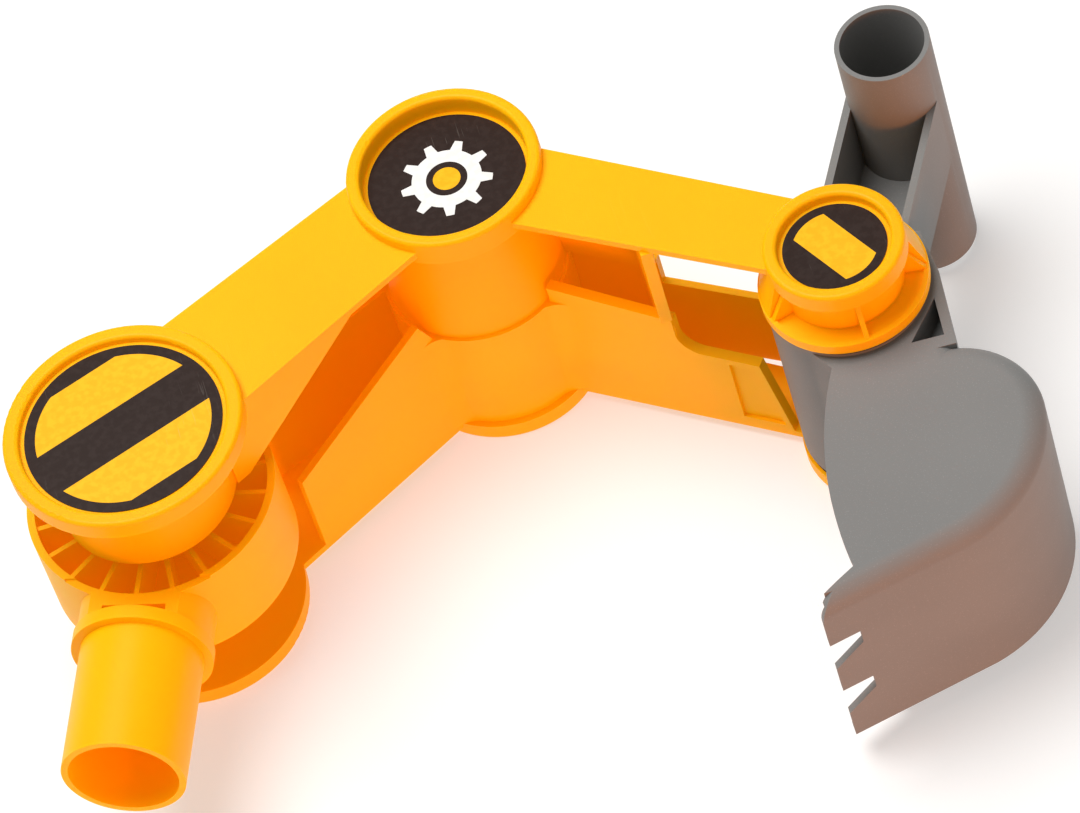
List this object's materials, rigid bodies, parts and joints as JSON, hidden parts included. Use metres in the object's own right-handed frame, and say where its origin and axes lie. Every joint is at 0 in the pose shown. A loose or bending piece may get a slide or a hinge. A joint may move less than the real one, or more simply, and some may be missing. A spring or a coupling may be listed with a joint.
{
  "type": "toy excavator arm",
  "caption": "Jointed digging arm of a ride-on style toy excavator: tube socket, hollow moulded boom with round pivot bosses, toothed bucket and cross handle.",
  "frame": {"origin": "on the base pivot axis, in the plane of the far disc faces that the arm lies on", "axes": "+Z along the pivots from the far face to the near face, +X from the base pivot towards the bucket, +Y towards the elbow"},
  "size_m": [0.3212, 0.2159, 0.102],
  "materials": {
    "yellow_plastic": "satin moulded",
    "grey_plastic": "fine moulded grain",
    "pivot_steel": "drawn tube",
    "screw_steel": "zinc plated",
    "washer_rubber": "matt black",
    "sticker_film": "printed film"
  },
  "bodies": {
    "base": {"base_socket": "yellow_plastic"},
    "boom": {"boom_near_half": "yellow_plastic", "boom_far_half": "yellow_plastic", "base_pivot_pin": "pivot_steel", "bucket_pivot_pin": "pivot_steel", "base_washer_near": "washer_rubber", "base_washer_far": "washer_rubber", "bucket_washer_near": "washer_rubber", "bucket_washer_far": "washer_rubber", "sticker_base": "sticker_film", "sticker_elbow": "sticker_film", "sticker_bucket": "sticker_film", "elbow_screws": "screw_steel", "pivot_screws": "screw_steel"},
    "scoop": {"bucket": "grey_plastic"}
  },
  "joints": [
    {"name": "boom_swing", "type": "hinge", "parent": "base", "child": "boom", "pos_m": [0, 0, 0.0493], "axis": [0, 0, 1], "range_deg": [-45, 45]},
    {"name": "scoop_curl", "type": "hinge", "parent": "boom", "child": "scoop", "pos_m": [0.22008, -0.02177, 0.0435], "axis": [0, 0, 1], "range_deg": [-60, 15]}
  ]
}
